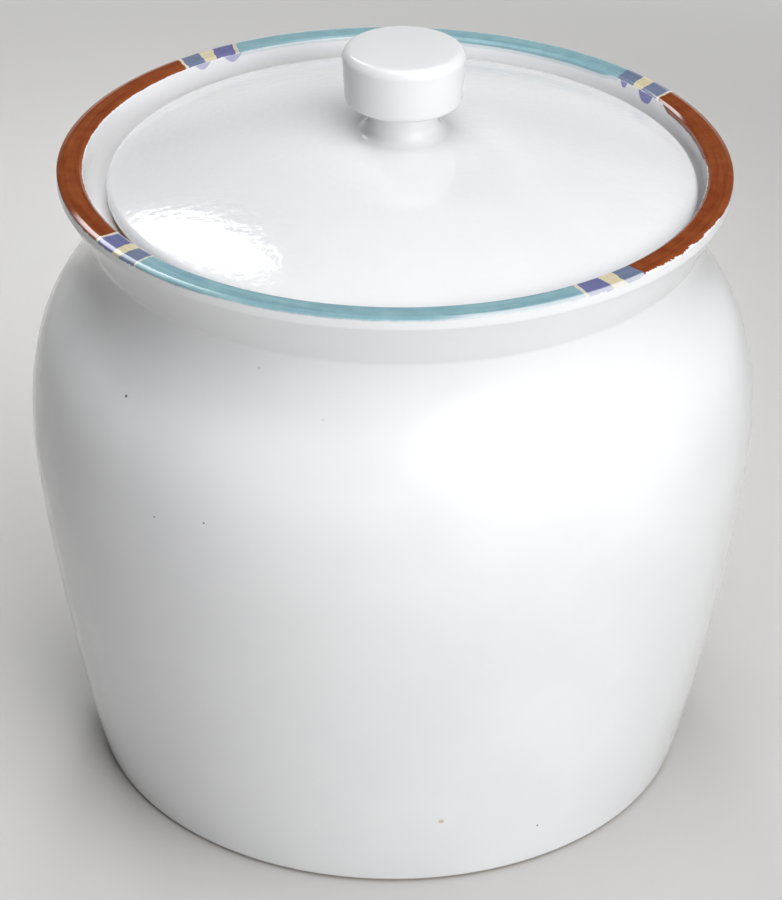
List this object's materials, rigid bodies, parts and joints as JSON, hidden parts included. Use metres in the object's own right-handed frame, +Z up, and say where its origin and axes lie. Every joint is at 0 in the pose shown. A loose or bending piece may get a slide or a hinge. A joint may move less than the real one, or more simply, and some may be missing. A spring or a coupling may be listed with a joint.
{
  "type": "canister",
  "caption": "Round stoneware canister with a bellied wall, a flared collar with a striped rim, and a domed drop-in lid with a drum-shaped knob.",
  "frame": {"origin": "middle of the foot ring, on the surface that the pot stands on", "axes": "+Z up along the pot's axis, -Y towards the viewer of the picture, +X to the viewer's right"},
  "size_m": [0.187, 0.187, 0.1958],
  "materials": {
    "pot_glaze": "glossy white glaze, painted rim, bare foot ring",
    "lid_glaze": "glossy white glaze",
    "knob_glaze": "glossy white glaze",
    "seal_rubber": "satin translucent white"
  },
  "bodies": {
    "pot": {"canister_body": "pot_glaze"},
    "seal_ring": {"lid_seal": "seal_rubber"},
    "lid_and_knob": {"lid": "lid_glaze", "lid_knob": "knob_glaze"}
  },
  "joints": [
    {"name": "lid_lift", "type": "slide", "parent": "pot", "child": "seal_ring", "axis": [0, 0, 1], "range_m": [0, 0.16]},
    {"name": "lid_turn", "type": "hinge", "parent": "seal_ring", "child": "lid_and_knob", "pos_m": [0.0018, 0, 0.1574], "axis": [0, 0, 1], "continuous": true}
  ]
}
